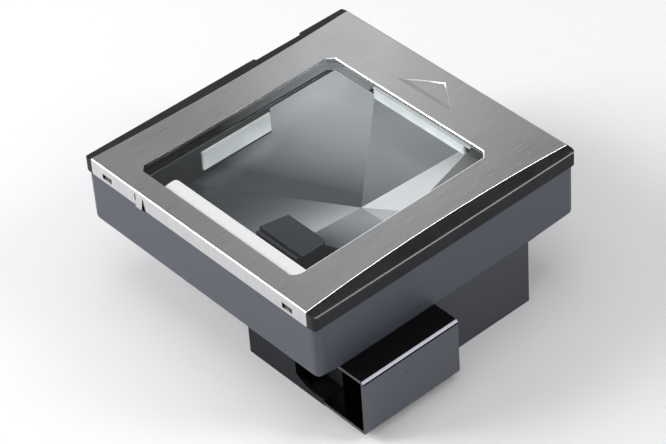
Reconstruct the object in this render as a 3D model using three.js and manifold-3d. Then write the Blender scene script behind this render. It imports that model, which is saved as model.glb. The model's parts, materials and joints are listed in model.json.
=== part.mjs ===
// Flatbed counter scanner: a square, steel-topped cover on a plastic tray, with mirrors, light panels
// and a camera under the window, and an electronics box with its connector bracket hanging below.
// Millimetres, +Z up. X runs to the right of the operator and Y runs away from the operator.
// The origin is at the middle of the tray's underside, the face that rests on the counter's ledge.

import * as THREE from "three";
import { mergeVertices } from "three/addons/utils/BufferGeometryUtils.js";
import Module from "manifold-3d";

const wasm = await Module();
wasm.setup();

// Driving dimensions
const HALF = 76.2; // half of the square cover
const TOP = 36; // top of the steel skin
const GAP = 0.1; // gap kept between faces that touch
const SHEET = 0.8; // thickness of the steel skin
const FOLD = 1.2; // outer radius of the skin's folds
const LIP_BOTTOM = 27.6; // lower edge of the steel skin's folded lips
const SKIN_HALF = 71.3; // half width of the skin at its front and rear ends
const BOW_RIGHT = 3; // how far the right edge of the skin bows inwards at its middle
const BOW_LEFT = 2;

const WINDOW = { x0: -51.2, x1: 51.5, y0: -65.4, y1: 47.3 }; // opening in the steel skin
const WINDOW_CHAMFER = 3.2;
const GLASS_EDGE = 3; // how far the glass reaches past the opening
const GLASS_TOP = TOP - SHEET - 0.3;
const GLASS_THICK = 3;
const GLASS_BOTTOM = GLASS_TOP - GLASS_THICK;
const LEDGE_TOP = 31; // ledge of the cover frame that carries the glass
const LEDGE_BOTTOM = 29.5;

const RAIL_BOTTOM = LIP_BOTTOM; // lower edge of the cover's side rails
const RAIL_TOP = TOP - 0.45; // top of the rail where it meets the skin, so that the skin's edge stands proud
const RAIL_DROP = 1; // how far below the skin the rail's outer edge lies
const SKIRT_INNER = 73; // inner face of the cover frame's skirt

const TRAY_HALF = 75.6; // half of the square tray
const TRAY_TOP = LIP_BOTTOM - GAP;
const WALL = 2.5;
const RIM_HALF = 72.6; // outer face of the tray's rim, inside the skirt
const RIM_TOP = 30.6;
const RIM_WALL = 2;

const BOX = { x0: 12, x1: 75.6, y0: -62, y1: 47, bottom: -34 }; // lower housing
const BAY = { x: 61, y: -9 }; // inner corner of the connector bay cut out of the lower housing
const POCKET = { x: 43, y: -51, z: -30.5 }; // cable pocket between the bay and the front wall
const PLATE_THICK = 2;
const SEAT = 0.3; // depth of the seats in the tray's underside for the lower housing and the bracket
const RATING = { x0: 24, x1: 50, y0: -30, y1: 20 }; // label stuck in a recess of the base plate
const RATING_THICK = 0.15;

const BRACKET = { x0: 63, x1: 90, y0: -64, y1: -9.4, z0: -30.5, z1: SEAT - GAP };
const BRACKET_SHEET = 1.5;

const CHASSIS = { x0: -60, x1: 54, y0: -67.8, y1: 66, z0: 5, z1: 28.9 };
const CHASSIS_WALL = 2;
const FLANGE_BOTTOM = 26.8; // underside of the chassis's top flange
const FLOOR = { z0: 6, z1: 7.8, y1: -32 }; // floor of the chassis's front bay
const LIGHT_WALL = { x: -50.3, y1: 9, z0: 13.8 }; // inner wall that carries the left light panel
const MIRROR_THICK = 1.2;
const BED_DROP = 1.5; // the chassis bed lies this far below the mirrors' faces
const BED_THICK = 1.8;
const LEFT_LIGHT = { y0: -32, y1: 8, z0: 16, z1: 26 };
const REAR_LIGHT = { x0: -23, x1: 35.4, y0: 47.6, y1: 49.2, z0: 26.2, z1: 30.95 };
const LIGHT_LEDGE = { x0: -24.8, x1: 38.2, y1: 50.8, z0: 30.2 }; // upper edge of the rear light, folded back
const CAMERA = { x0: 5.2, x1: 33.6, y0: -45.5, y1: -31.4, z0: 8.1, z1: 24, taper: 3 };
const LENS = { x: 20, z: 18.2 };

const BOARD = { x0: 15, x1: 58, y0: -47.5, y1: 44, z0: -24, z1: -22.4 }; // main circuit board
const JACK_Z = [-22.3, -8];
const JACKS = [
  { name: "host_port", y: -40, half: 7.5 },
  { name: "aux_port", y: -20, half: 6 },
];

const SLOT_HALF = 3.2; // half length of the snap slots in the front lip
const SLOT_TAB_HALF = 1.75; // half length of the pressed-in tab that divides each slot
const SLOT_TAB_DEPTH = 0.4;
const SLOT_X = [-60.5, 59.2];
const SLOT_Z = [29.3, 32];
const TONGUE = { x0: -41.1, x1: -35.6, foot: -37.1, z0: 26.4, z1: 33.8, slitX: -40.4, slitZ: 30.5 };
const TONGUE_GAP = { left: -41.2, right: -35.3, foot: -34, top: 33.9 };

const SCREW_RADIUS = 1.5;
const SCREW_HOLE = 1.85;
const HEAD_RADIUS = 2.9;
const HEAD_HEIGHT = 1.8;
const COUNTERSINK = 1.4;

// Materials: colour, roughness, metalness
const FINISH = {
  steel: [0x9a9c9e, 0.35, 1],
  housing: [0x5c5f6b, 0.55, 0],
  black: [0x2a2c2e, 0.7, 0],
  gloss: [0x0c0c0e, 0.15, 0.2],
  glass: [0xdfe9e6, 0.05, 0],
  rubber: [0x1b1b1b, 0.9, 0],
  mirror: [0xa7b0b3, 0.05, 1],
  diffuser: [0xf2f5f4, 0.5, 0],
  label: [0xf4f4f2, 0.6, 0],
  board: [0x1f5a3a, 0.6, 0],
  chip: [0x17181a, 0.5, 0],
  socket: [0x2b2d30, 0.5, 0],
  zinc: [0xb9bbbd, 0.4, 1],
  lens: [0x24303a, 0.05, 0],
  cable: [0xc98a3a, 0.6, 0],
};

// ---------- solids ----------

function solidOf(geometry) {
  geometry.deleteAttribute("normal");
  geometry.deleteAttribute("uv");
  const merged = mergeVertices(geometry, 1e-4);
  return new wasm.Manifold(
    new wasm.Mesh({
      numProp: 3,
      vertProperties: new Float32Array(merged.attributes.position.array),
      triVerts: new Uint32Array(merged.index.array),
    }),
  );
}

function geometryOf(solid) {
  const mesh = solid.getMesh();
  const geometry = new THREE.BufferGeometry();
  geometry.setAttribute("position", new THREE.BufferAttribute(new Float32Array(mesh.vertProperties), 3));
  geometry.setIndex(new THREE.BufferAttribute(new Uint32Array(mesh.triVerts), 1));
  geometry.computeVertexNormals();
  return geometry;
}

function block(x0, x1, y0, y1, z0, z1) {
  const geometry = new THREE.BoxGeometry(x1 - x0, y1 - y0, z1 - z0);
  geometry.translate((x0 + x1) / 2, (y0 + y1) / 2, (z0 + z1) / 2);
  return solidOf(geometry);
}

function extrude(shape, z0, z1) {
  const geometry = new THREE.ExtrudeGeometry(shape, {
    depth: z1 - z0,
    bevelEnabled: false,
    curveSegments: 5,
  });
  geometry.translate(0, 0, z0);
  return solidOf(geometry);
}

function outline(points) {
  return new THREE.Shape(points.map(([x, y]) => new THREE.Vector2(x, y)));
}

// Rectangle whose corners are rounded, or cut off straight when cut is true
function cornered(x0, x1, y0, y1, size, cut = false) {
  const shape = new THREE.Shape();
  const corner = (x, y, toX, toY) => (cut ? shape.lineTo(toX, toY) : shape.quadraticCurveTo(x, y, toX, toY));
  shape.moveTo(x0 + size, y0);
  shape.lineTo(x1 - size, y0);
  corner(x1, y0, x1, y0 + size);
  shape.lineTo(x1, y1 - size);
  corner(x1, y1, x1 - size, y1);
  shape.lineTo(x0 + size, y1);
  corner(x0, y1, x0, y1 - size);
  shape.lineTo(x0, y0 + size);
  corner(x0, y0, x0 + size, y0);
  return shape;
}

function grown(box, by) {
  return [box.x0 - by, box.x1 + by, box.y0 - by, box.y1 + by];
}

// Cylinder along one axis, between two coordinates on that axis
function rod(axis, a, b, from, to, radius, sides = 16) {
  const geometry = new THREE.CylinderGeometry(radius, radius, to - from, sides);
  const middle = (from + to) / 2;
  if (axis === "x") geometry.rotateZ(Math.PI / 2).translate(middle, a, b);
  if (axis === "y") geometry.translate(a, middle, b);
  if (axis === "z") geometry.rotateX(Math.PI / 2).translate(a, b, middle);
  return solidOf(geometry);
}

// Cone frustum along Z, with one radius at each end
function cone(x, y, z0, z1, radius0, radius1, sides = 16) {
  const geometry = new THREE.CylinderGeometry(radius1, radius0, z1 - z0, sides);
  geometry.rotateX(Math.PI / 2).translate(x, y, (z0 + z1) / 2);
  return solidOf(geometry);
}

// Ring along Z between two radii
function ring(x, y, z0, z1, outer, inner, sides = 16) {
  return rod("z", x, y, z0, z1, outer, sides).subtract(rod("z", x, y, z0 - 1, z1 + 1, inner, sides));
}

function joined(solids) {
  return solids.reduce((sum, solid) => sum.add(solid));
}

function without(solid, cutters) {
  return cutters.reduce((rest, cutter) => rest.subtract(cutter), solid);
}

// Solid between two polygons of [x, y, z] corners, both given anticlockwise from above
function loft(upper, lower) {
  const count = upper.length;
  const positions = [...upper, ...lower].flat();
  const index = [];
  for (let i = 1; i < count - 1; i += 1) {
    index.push(0, i, i + 1);
    index.push(count, count + i + 1, count + i);
  }
  for (let i = 0; i < count; i += 1) {
    const next = (i + 1) % count;
    index.push(i, count + i, next);
    index.push(next, count + i, count + next);
  }
  const geometry = new THREE.BufferGeometry();
  geometry.setAttribute("position", new THREE.Float32BufferAttribute(positions, 3));
  geometry.setIndex(index);
  return solidOf(geometry);
}

// Slab below a flat, sloping polygon
function slab(corners, from, thick) {
  const lowered = (drop) => corners.map(([x, y, z]) => [x, y, z - drop]);
  return loft(lowered(from), lowered(from + thick));
}

// Outline in X and Z, extruded along Y
function extrudeAlongY(points, y0, y1) {
  return extrude(outline(points), -y1, -y0).rotate([90, 0, 0]);
}

// Same polygon with each corner drawn towards the middle, so that neighbours keep a gap
function shrunk(corners, by) {
  const middle = [0, 1, 2].map((i) => corners.reduce((sum, c) => sum + c[i], 0) / corners.length);
  return corners.map((corner) => {
    const away = corner.map((value, i) => value - middle[i]);
    const length = Math.hypot(...away);
    return corner.map((value, i) => value - (away[i] / length) * by);
  });
}

// ---------- scene graph ----------

const group = new THREE.Group();
const housing = new THREE.Group();
const cover = new THREE.Group();
group.add(housing, cover);

function add(parent, name, solid, finish, place = [0, 0, 0]) {
  const [color, roughness, metalness] = FINISH[finish];
  const material = new THREE.MeshStandardMaterial({ color, roughness, metalness });
  const mesh = new THREE.Mesh(geometryOf(solid), material);
  mesh.name = name;
  mesh.position.set(...place);
  parent.add(mesh);
  return mesh;
}

// Pan-head screw standing on its head's underside at z = 0, with its shank pointing up
function screw(shank) {
  const head = rod("z", 0, 0, -HEAD_HEIGHT, 0, HEAD_RADIUS);
  const recess = joined([
    block(-1.6, 1.6, -0.35, 0.35, -HEAD_HEIGHT - 1, -HEAD_HEIGHT + 0.9),
    block(-0.35, 0.35, -1.6, 1.6, -HEAD_HEIGHT - 1, -HEAD_HEIGHT + 0.9),
  ]);
  return head.add(rod("z", 0, 0, -0.2, shank, SCREW_RADIUS, 12)).subtract(recess);
}

// Countersunk screw with its flat face at z = 0 and its shank pointing up
function flatScrew(shank) {
  const head = cone(0, 0, 0, COUNTERSINK, HEAD_RADIUS, SCREW_RADIUS);
  const recess = joined([block(-1.6, 1.6, -0.35, 0.35, -1, 0.9), block(-0.35, 0.35, -1.6, 1.6, -1, 0.9)]);
  return head.add(rod("z", 0, 0, COUNTERSINK - 0.4, shank, SCREW_RADIUS)).subtract(recess);
}

// ---------- cover ----------

// Side edge of the skin's flat top at y along it, bowed inwards towards the middle
function bowedEdge(side, y) {
  const bow = side > 0 ? BOW_RIGHT : BOW_LEFT;
  return side * (SKIN_HALF - bow * (1 - (y / (HALF - FOLD)) ** 2));
}

// Plan of the skin, straight across its folds and bowed between them, with its sides moved outwards
function skinPlan(clearance) {
  const steps = 10;
  const flat = HALF - FOLD;
  const points = [];
  for (const side of [1, -1]) {
    points.push([side * (SKIN_HALF + clearance), side * (-HALF - 2)]);
    for (let i = 0; i <= steps; i += 1) {
      const y = side * flat * ((2 * i) / steps - 1);
      points.push([bowedEdge(side, y) + side * clearance, y]);
    }
    points.push([side * (SKIN_HALF + clearance), side * (HALF + 2)]);
  }
  return outline(points);
}

// Opening in the skin: three cut corners, and a rounder one at the right front
function windowPlan() {
  const { x0, x1, y0, y1 } = WINDOW;
  const cut = WINDOW_CHAMFER;
  const round = 5.5;
  const shape = new THREE.Shape();
  shape.moveTo(x0 + cut, y0);
  shape.lineTo(x1 - round, y0);
  shape.quadraticCurveTo(x1, y0, x1, y0 + round);
  shape.lineTo(x1, y1 - cut);
  shape.lineTo(x1 - cut, y1);
  shape.lineTo(x0 + cut, y1);
  shape.lineTo(x0, y1 - cut);
  shape.lineTo(x0, y0 + cut);
  return shape;
}

// Sheet with a lip folded down at its front and its rear, as a profile in Y and Z swept along X
function foldedSheet(frontBottom, rearBottom) {
  const inner = HALF - SHEET;
  const shape = new THREE.Shape();
  shape.moveTo(-HALF, frontBottom);
  shape.lineTo(-inner, frontBottom);
  shape.lineTo(-inner, TOP - SHEET);
  shape.lineTo(inner, TOP - SHEET);
  shape.lineTo(inner, rearBottom);
  shape.lineTo(HALF, rearBottom);
  shape.lineTo(HALF, TOP - FOLD);
  shape.quadraticCurveTo(HALF, TOP, HALF - FOLD, TOP);
  shape.lineTo(-HALF + FOLD, TOP);
  shape.quadraticCurveTo(-HALF, TOP, -HALF, TOP - FOLD);
  const depth = 2 * SKIN_HALF + 2;
  const geometry = new THREE.ExtrudeGeometry(shape, { depth, bevelEnabled: false, curveSegments: 5 });
  geometry.translate(0, 0, -depth / 2);
  // The profile's X becomes Y and its Y becomes Z
  geometry.applyMatrix4(new THREE.Matrix4().set(0, 0, 1, 0, 1, 0, 0, 0, 0, 1, 0, 0, 0, 0, 0, 1));
  return solidOf(geometry);
}

// Arrow pressed into the skin, pointing away from the operator: its two rear walls are steep and its front
// wall is a gentle slope
function arrow() {
  const depth = 0.5;
  const mouth = [
    [-17.2, 56.6],
    [18.2, 56.8],
    [1.3, 69.6],
  ];
  const floor = [
    [-13, 59.2],
    [14.2, 59.4],
    [1.2, 69],
  ];
  const above = mouth.map(([x, y], i) => [2 * x - floor[i][0], 2 * y - floor[i][1], TOP + depth]);
  return loft(above, floor.map(([x, y]) => [x, y, TOP - depth]));
}

function coverSkin() {
  const sheet = foldedSheet(LIP_BOTTOM, LIP_BOTTOM + 3);
  const slots = SLOT_X.map((x) => {
    const across = (from, to, depth) => block(x + from, x + to, -HALF - 1, -HALF + depth, ...SLOT_Z);
    return joined([
      across(-SLOT_HALF, -SLOT_TAB_HALF, SHEET + 1),
      across(-SLOT_TAB_HALF - 0.1, SLOT_TAB_HALF + 0.1, SLOT_TAB_DEPTH),
      across(SLOT_TAB_HALF, SLOT_HALF, SHEET + 1),
    ]);
  });
  const { left, right, foot, top } = TONGUE_GAP;
  const tongueGap = extrudeAlongY(
    [
      [left, 26],
      [foot, 26],
      [foot, LIP_BOTTOM],
      [right, top],
      [left, top],
    ],
    -HALF - 1,
    -HALF + 1,
  );
  const lowerCorners = [-1, 1].map((side) =>
    extrudeAlongY(
      [
        [side * (SKIN_HALF - 1.6), LIP_BOTTOM - 1],
        [side * (SKIN_HALF + 1), LIP_BOTTOM - 1],
        [side * (SKIN_HALF + 1), LIP_BOTTOM + 1.6],
      ],
      -HALF - 1,
      -HALF + 2,
    ),
  );
  return without(sheet.intersect(extrude(skinPlan(0), LIP_BOTTOM - 1, TOP + 1)), [
    extrude(windowPlan(), TOP - 2, TOP + 1),
    arrow(),
    tongueGap,
    ...slots,
    ...lowerCorners,
  ]);
}

// Side rail: falls slightly from the skin's edge to a rounded outer edge, then drops straight down
function rail(side) {
  const round = 1.2;
  const shape = new THREE.Shape();
  const inner = bowedEdge(side, 0) * side - 2;
  shape.moveTo(inner, LEDGE_TOP);
  shape.lineTo(SKIRT_INNER, LEDGE_TOP);
  shape.lineTo(SKIRT_INNER, RAIL_BOTTOM);
  shape.lineTo(HALF, RAIL_BOTTOM);
  shape.lineTo(HALF, TOP - RAIL_DROP - round);
  shape.quadraticCurveTo(HALF, TOP - RAIL_DROP, HALF - round, TOP - RAIL_DROP);
  shape.lineTo(SKIN_HALF - 1, RAIL_TOP);
  shape.lineTo(inner, RAIL_TOP);
  const depth = 2 * HALF;
  const geometry = new THREE.ExtrudeGeometry(shape, { depth, bevelEnabled: false, curveSegments: 4 });
  geometry.translate(0, 0, -HALF);
  // The profile's X stays X, its Y becomes Z
  geometry.rotateX(Math.PI / 2);
  const solid = solidOf(geometry);
  return side < 0 ? solid.mirror([1, 0, 0]) : solid;
}

function glassPlan(by) {
  return cornered(...grown(WINDOW, GLASS_EDGE + by), WINDOW_CHAMFER, true);
}

function coverFrame() {
  const plate = extrude(cornered(-74, 74, -HALF + 0.9, HALF - 0.9, 1), LEDGE_BOTTOM, TOP - SHEET - GAP);
  const hollow = joined([
    block(-SKIRT_INNER, SKIRT_INNER, -SKIRT_INNER, -70, 0, LEDGE_TOP),
    block(-SKIRT_INNER, SKIRT_INNER, 52, SKIRT_INNER, 0, LEDGE_TOP),
    block(-SKIRT_INNER, -56.5, -SKIRT_INNER, SKIRT_INNER, 0, LEDGE_TOP),
    block(56.5, SKIRT_INNER, -SKIRT_INNER, SKIRT_INNER, 0, LEDGE_TOP),
  ]);
  const skirts = [-1, 1].map((side) => {
    const face = HALF - SHEET - GAP;
    const ys = side < 0 ? [-face, -SKIRT_INNER] : [SKIRT_INNER, face];
    return block(-HALF + 1, HALF - 1, ys[0], ys[1], RAIL_BOTTOM, TOP - SHEET - GAP);
  });
  const recess = extrude(skinPlan(0.1), TOP - SHEET - GAP, TOP + 1);
  const lipRecess = block(-SKIN_HALF - 0.1, SKIN_HALF + 0.1, -HALF - 1, -HALF + SHEET + GAP, 20, TOP + 1);
  const rearRecess = block(-SKIN_HALF - 0.1, SKIN_HALF + 0.1, HALF - SHEET - GAP, HALF + 1, 20, TOP + 1);
  const tonguePocket = block(TONGUE_GAP.left - 0.8, TONGUE_GAP.foot + 0.8, -HALF - 1, -66, 25, 34);
  const thumbNotch = block(-HALF - 1, -HALF + 2, 22, 50, 20, TOP + 1);
  // The opening under the glass steps inwards, with a groove round its ledge
  const opening = (by, z0) => extrude(cornered(...grown(WINDOW, by), WINDOW_CHAMFER, true), z0, TOP);
  const step = opening(0.5, LEDGE_TOP - 0.8);
  const groove = opening(1.9, LEDGE_TOP - 0.5).subtract(opening(1.2, LEDGE_TOP - 0.5));
  const ends = [-1, 1].map((side) => {
    const xs = side < 0 ? [-HALF, -SKIN_HALF] : [SKIN_HALF, HALF];
    const front = block(xs[0], xs[1], -HALF, -SKIRT_INNER, RAIL_BOTTOM, LEDGE_TOP + 1);
    return front.add(block(xs[0], xs[1], SKIRT_INNER, HALF, RAIL_BOTTOM, LEDGE_TOP + 1));
  });
  const body = joined([plate.subtract(hollow), ...skirts, ...ends, rail(1), rail(-1)]);
  const rounded = body.intersect(extrude(cornered(-HALF, HALF, -HALF, HALF, 2.4), 0, TOP));
  return without(rounded, [
    recess,
    lipRecess,
    rearRecess,
    tonguePocket,
    thumbNotch,
    extrude(glassPlan(0.2), LEDGE_TOP, TOP),
    opening(-0.2, 20),
    step,
    groove,
    block(LIGHT_LEDGE.x0 - 1, LIGHT_LEDGE.x1 + 1, 46, 53, 20, LEDGE_TOP + 0.02),
  ]);
}

function windowGasket() {
  const z0 = LEDGE_TOP + GAP;
  const z1 = GLASS_BOTTOM - GAP;
  const outer = extrude(cornered(...grown(WINDOW, GLASS_EDGE), WINDOW_CHAMFER, true), z0, z1);
  const inner = extrude(cornered(...grown(WINDOW, GLASS_EDGE - 0.6), WINDOW_CHAMFER, true), 20, TOP);
  return outer.subtract(inner);
}

// Strip along the front of the glass, slanted at its left end
function windowLabel() {
  const right = WINDOW.x1 - 0.4;
  const front = WINDOW.y0 + 0.3;
  const deep = 7.1;
  const left = -33.8;
  const shape = new THREE.Shape();
  shape.moveTo(left, front);
  shape.lineTo(right - 5.2, front);
  shape.quadraticCurveTo(right, front, right, front + 5.2);
  shape.lineTo(right, front + deep);
  shape.lineTo(left + 2, front + deep);
  shape.quadraticCurveTo(left - 0.6, front + deep, left - 0.5, front + deep - 2);
  return extrude(shape, GLASS_TOP + 0.05, GLASS_TOP + 0.2);
}

// Sprung catch in the front lip: a pad to press, a stem over the tray's rim and a hook behind the rim
function releaseTongue() {
  const { x0, x1, foot, z0, z1, slitX, slitZ } = TONGUE;
  const stem = [x0 + 0.8, foot];
  const back = -69.5;
  const top = 32.3;
  const pad = [
    [x0, z0],
    [foot, z0],
    [x1, z1],
    [slitX, z1],
    [slitX, slitZ],
    [x0, slitZ],
  ];
  return joined([
    extrudeAlongY(pad, -HALF, -HALF + SHEET),
    block(...stem, -HALF + 0.4, back, top - 1.2, top),
    block(...stem, back - SHEET, back, z0 + 0.4, top),
  ]);
}

add(cover, "cover_skin", coverSkin(), "steel");
add(cover, "cover_frame", coverFrame(), "black");
add(cover, "window_glass", extrude(glassPlan(0), GLASS_BOTTOM, GLASS_TOP), "glass");
add(cover, "window_gasket", windowGasket(), "rubber");
add(cover, "window_label", windowLabel(), "label");
add(cover, "release_tongue", releaseTongue(), "steel");

// ---------- tray and lower housing ----------

const BRACKET_SCREWS = [
  [69, -50],
  [69, -23],
];
const BASE_SCREWS = [
  [19, -43],
  [39, -43],
  [19, 40],
  [54, 40],
];
const CASE_SCREWS = [
  [17.5, -46],
  [55.5, -46],
  [17.5, 32],
  [70, 32],
];
const CHASSIS_SCREWS = [
  [-66, -60],
  [-66, 56],
  [66, -60],
  [66, 56],
];
const BUTTON = { y: 20, z: 14 };

function lowerPlan(inset) {
  return outline([
    [BOX.x0 + inset, BOX.y0 + inset],
    [BAY.x - inset, BOX.y0 + inset],
    [BAY.x - inset, BAY.y + inset],
    [BOX.x1 - inset, BAY.y + inset],
    [BOX.x1 - inset, BOX.y1 - inset],
    [BOX.x0 + inset, BOX.y1 - inset],
  ]);
}

function upperHousing() {
  const inner = TRAY_HALF - WALL;
  const shell = extrude(cornered(-TRAY_HALF, TRAY_HALF, -TRAY_HALF, TRAY_HALF, 3.5), 0, TRAY_TOP);
  const rim = extrude(cornered(-RIM_HALF, RIM_HALF, -RIM_HALF, RIM_HALF, 2.5), TRAY_TOP - 1, RIM_TOP);
  const room = RIM_HALF - RIM_WALL;
  const cavity = joined([
    extrude(cornered(-inner, inner, -inner, inner, 2.5), WALL, TRAY_TOP - 1.6),
    extrude(cornered(-room, room, -room, room, 2.5), WALL, RIM_TOP + 1),
  ]);
  const bosses = BRACKET_SCREWS.map(([x, y]) => rod("z", x, y, 1, 9, 4));
  const posts = CHASSIS_SCREWS.map(([x, y]) => rod("z", x, y, 1, 15.4, 3.6));
  const holes = BRACKET_SCREWS.map(([x, y]) => rod("z", x, y, -1, 7.6, SCREW_HOLE, 12));
  const postHoles = CHASSIS_SCREWS.map(([x, y]) => rod("z", x, y, 5, 16, SCREW_HOLE, 12));
  const caseHoles = CASE_SCREWS.map(([x, y]) => rod("z", x, y, -1, WALL + 1, SCREW_HOLE, 12));
  const { x0, x1, z0 } = TONGUE;
  const tongueNotch = block(x0 - 1, x1 + 1, -TRAY_HALF - 1, -RIM_HALF + 0.01, z0 - 0.4, TOP);
  const buttonHole = rod("x", BUTTON.y, BUTTON.z, -TRAY_HALF - 1, -TRAY_HALF + WALL + 1, 3.4);
  const bracketSeat = block(BAY.x, TRAY_HALF + 1, BRACKET.y0 - 0.3, BAY.y, -1, SEAT);
  return without(joined([shell.add(rim).subtract(cavity), ...bosses, ...posts]), [
    ...holes,
    ...postHoles,
    ...caseHoles,
    extrude(lowerPlan(10), -1, WALL + 1),
    tongueNotch,
    buttonHole,
    extrude(lowerPlan(-0.2), -1, SEAT),
    bracketSeat,
  ]);
}

function lowerHousing() {
  const top = SEAT - GAP;
  const outer = extrude(lowerPlan(0), BOX.bottom, top);
  const inner = extrude(lowerPlan(WALL), BOX.bottom - 1, 1);
  const trimmed = (boss) => boss.intersect(extrude(lowerPlan(1), BOX.bottom, top));
  const base = BASE_SCREWS.map(([x, y]) => {
    const z0 = BOX.bottom + PLATE_THICK + 0.5;
    const z1 = BOARD.z0 - GAP;
    const rib = block(BOX.x0 + 1, x, y - 1, y + 1, z0, z1);
    return trimmed(rod("z", x, y, z0, z1, 4).add(rib));
  });
  const upper = CASE_SCREWS.map(([x, y]) => trimmed(rod("z", x, y, -7.5, 1, 4)));
  const baseHoles = BASE_SCREWS.map(([x, y]) => rod("z", x, y, BOX.bottom - 1, 0, SCREW_HOLE, 12));
  const upperHoles = CASE_SCREWS.map(([x, y]) => rod("z", x, y, -6, 1, SCREW_HOLE, 12));
  const sockets = JACKS.map(({ y, half }) =>
    block(BAY.x - WALL - 1, BAY.x + 1, y - half, y + half, JACK_Z[0], JACK_Z[1]),
  );
  const { x, y, z } = POCKET;
  const pocketWalls = block(x - WALL, BAY.x, BOX.y0, y + WALL, z - 1, top);
  const pocket = block(x, BAY.x + 1, BOX.y0 + WALL, y, z, 1);
  const body = joined([outer.subtract(inner), pocketWalls, ...base, ...upper]);
  return without(body, [...baseHoles, ...upperHoles, ...sockets, pocket, frontScoop()]);
}

// Curved cut where the front wall of the pocket falls away towards the connector bay
function frontScoop() {
  const { x, z } = POCKET;
  const shape = new THREE.Shape();
  shape.moveTo(x, 1);
  shape.lineTo(x, z + 4);
  shape.quadraticCurveTo(50, z - 1, 57, z);
  shape.lineTo(BAY.x + 1, z);
  shape.lineTo(BAY.x + 1, 1);
  const depth = WALL + 2;
  const geometry = new THREE.ExtrudeGeometry(shape, { depth, bevelEnabled: false, curveSegments: 5 });
  geometry.rotateX(Math.PI / 2);
  geometry.translate(0, BOX.y0 + WALL + 0.5, 0);
  return solidOf(geometry);
}

function jack({ y, half }) {
  const [z0, z1] = JACK_Z;
  const body = block(BAY.x - 16, BAY.x - 0.3, y - half + 0.2, y + half - 0.2, z0 + 0.2, z1 - 0.2);
  const mouth = block(BAY.x - 13, BAY.x + 1, y - half + 1.4, y + half - 1.4, z0 + 2.4, z1 - 1.8);
  const latch = block(BAY.x - 8, BAY.x + 1, y - 2, y + 2, z0 + 1, z0 + 3);
  return body.subtract(mouth).subtract(latch);
}

function basePlate() {
  const z0 = BOX.bottom + 0.3;
  const plate = extrude(lowerPlan(WALL + 0.3), z0, z0 + PLATE_THICK);
  const spare = SCREW_HOLE - SCREW_RADIUS;
  const seats = BASE_SCREWS.map(([x, y]) =>
    cone(x, y, z0, z0 + COUNTERSINK, HEAD_RADIUS + spare, SCREW_HOLE).add(
      rod("z", x, y, z0 + COUNTERSINK - 0.4, z0 + PLATE_THICK + 1, SCREW_HOLE),
    ),
  );
  const recess = block(...grown(RATING, 0.3), z0 - 1, z0 + RATING_THICK + 0.05);
  return without(plate, [...seats, recess]);
}

function mountingBracket() {
  const { x0, x1, y0, y1, z0, z1 } = BRACKET;
  const bend = 2;
  const channel = (inset) => {
    const right = x1 - inset;
    const radius = bend - inset * 0.8;
    const shape = new THREE.Shape();
    shape.moveTo(x0 - (inset ? 1 : 0), z0 + inset);
    shape.lineTo(right - radius, z0 + inset);
    shape.quadraticCurveTo(right, z0 + inset, right, z0 + inset + radius);
    shape.lineTo(right, z1 - inset - radius);
    shape.quadraticCurveTo(right, z1 - inset, right - radius, z1 - inset);
    shape.lineTo(x0 - (inset ? 1 : 0), z1 - inset);
    const depth = y1 - y0 + (inset ? 2 : 0);
    const geometry = new THREE.ExtrudeGeometry(shape, { depth, bevelEnabled: false, curveSegments: 4 });
    geometry.rotateX(Math.PI / 2);
    geometry.translate(0, y1 + (inset ? 1 : 0), 0);
    return solidOf(geometry);
  };
  const holes = BRACKET_SCREWS.map(([x, y]) => rod("z", x, y, z1 - 3, z1 + 1, SCREW_HOLE, 12));
  return without(channel(0).subtract(channel(BRACKET_SHEET)), holes);
}

add(housing, "upper_housing", upperHousing(), "housing");
add(housing, "lower_housing", lowerHousing(), "housing");
add(housing, "base_plate", basePlate(), "housing");
add(housing, "mounting_bracket", mountingBracket(), "gloss");
BRACKET_SCREWS.forEach(([x, y], i) => {
  const z = BRACKET.z1 - BRACKET_SHEET - GAP;
  add(housing, `bracket_screw_${i + 1}`, screw(8), "zinc", [x, y, z]);
});
BASE_SCREWS.forEach(([x, y], i) => {
  add(housing, `base_screw_${i + 1}`, flatScrew(7), "zinc", [x, y, BOX.bottom + 0.3]);
});
CASE_SCREWS.forEach(([x, y], i) => {
  add(housing, `case_screw_${i + 1}`, screw(7), "zinc", [x, y, WALL + GAP]).rotateX(Math.PI);
});
JACKS.forEach((port) => add(housing, port.name, jack(port), "socket"));
const ratingZ = BOX.bottom + 0.3;
add(housing, "rating_plate", block(...grown(RATING, 0), ratingZ, ratingZ + RATING_THICK), "label");

// ---------- optics ----------

// Six flat mirrors slope down to one low point, like a shallow upturned pyramid.
// Each has a plan outline that starts at the low point, and falls by two slopes along X and Y.
const LOW = { x: 12, y: 6.6, z: 7 };
const EDGE = { left: -57.8, right: 51.8, rear: 63.6, front: -30.2 };
const REAR_LEFT = [-40.6, EDGE.rear];
const REAR_RIGHT = [21.4, EDGE.rear];
const FRONT_LEFT = [EDGE.left, -46.1];
const FRONT_RIGHT = [14.2, EDGE.front];
const RIGHT_UPPER = [EDGE.right, 12.1];
const RIGHT_LOWER = [EDGE.right, -6.9];

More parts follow.
